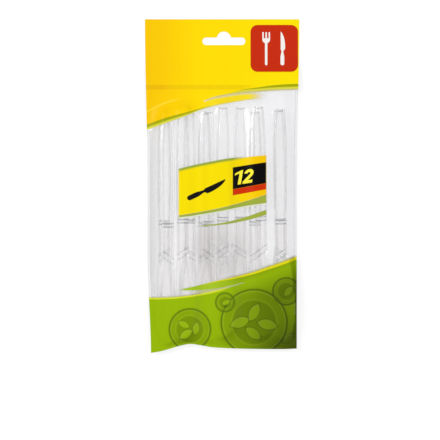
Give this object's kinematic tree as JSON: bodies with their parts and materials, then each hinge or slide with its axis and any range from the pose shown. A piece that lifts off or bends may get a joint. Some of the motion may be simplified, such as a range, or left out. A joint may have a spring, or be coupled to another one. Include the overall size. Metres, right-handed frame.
{
  "type": "plastic cutlery pack",
  "caption": "Clear film header bag with a hang slot, sealed round a set of clear plastic knives, with plain yellow and green print.",
  "frame": {"origin": "middle of the footprint, on the surface that the pack lies on", "axes": "+X towards the pack's right side, +Y towards the header and its hang slot, +Z out of the printed front"},
  "size_m": [0.115, 0.2484, 0.0104],
  "materials": {
    "clear_film": "thin clear film, printed yellow at the header and green at the base",
    "clear_plastic": "clear moulded polystyrene"
  },
  "bodies": {
    "root": {"bag": "clear_film", "knife_01": "clear_plastic", "knife_02": "clear_plastic", "knife_03": "clear_plastic", "knife_04": "clear_plastic", "knife_05": "clear_plastic", "knife_06": "clear_plastic", "knife_07": "clear_plastic", "knife_08": "clear_plastic", "knife_09": "clear_plastic", "knife_10": "clear_plastic", "knife_11": "clear_plastic", "knife_12": "clear_plastic"}
  },
  "joints": []
}
